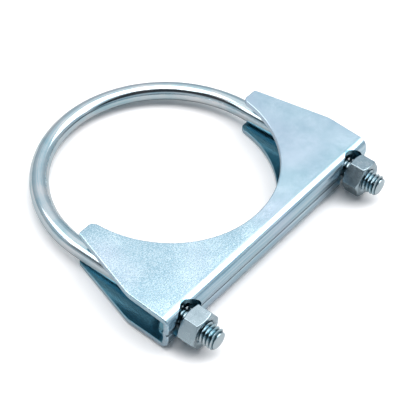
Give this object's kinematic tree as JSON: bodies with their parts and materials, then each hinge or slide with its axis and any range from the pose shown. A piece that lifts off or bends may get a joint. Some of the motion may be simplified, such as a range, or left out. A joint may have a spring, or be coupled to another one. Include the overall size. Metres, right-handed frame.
{
  "type": "exhaust u-bolt clamp",
  "caption": "Zinc-plated exhaust clamp: a bent rod with threaded legs and a pressed saddle close on a pipe as hex nuts are turned.",
  "frame": {"origin": "centre of the pipe that the clamp holds, on the mid-plane of the saddle", "axes": "+Z along the pipe, +Y towards the closed end of the U-bolt, +X across its two legs; the legs and nuts point towards -Y, and the loose U-bolt droops 2 degrees from the saddle's mid-plane"},
  "size_m": [0.1124, 0.1113, 0.0168],
  "materials": {
    "rod_zinc": "bright zinc plate on drawn steel rod, blue passivated, mirror-like with soft streaks",
    "sheet_zinc": "zinc plate on pressed steel sheet, blue passivated, satin with a fine crystalline grain",
    "nut_zinc": "zinc plate on cold-formed steel nuts, blue passivated, satin"
  },
  "bodies": {
    "rod": {"u_bolt": "rod_zinc"},
    "saddle": {"saddle": "sheet_zinc"},
    "nut_left": {"nut_left": "nut_zinc"},
    "nut_right": {"nut_right": "nut_zinc"}
  },
  "joints": [
    {"name": "saddle_slide", "type": "slide", "parent": "rod", "child": "saddle", "axis": [0, 0.9994, -0.0349], "range_m": [-0.0054, 0.008]},
    {"name": "nut_left_turn", "type": "hinge", "parent": "saddle", "child": "nut_left", "pos_m": [-0.0463, -0.05407, -0.00035], "axis": [0, 0.9994, -0.0349], "range_deg": [-1450, 2080]},
    {"name": "nut_right_turn", "type": "hinge", "parent": "saddle", "child": "nut_right", "pos_m": [0.0463, -0.05407, -0.00035], "axis": [0, 0.9994, -0.0349], "range_deg": [-1450, 2080]}
  ],
  "couplings": [
    {"joint": "nut_left_turn", "follows": "saddle_slide", "rad_per_m": 4452.6},
    {"joint": "nut_right_turn", "follows": "saddle_slide", "rad_per_m": 4452.6}
  ]
}
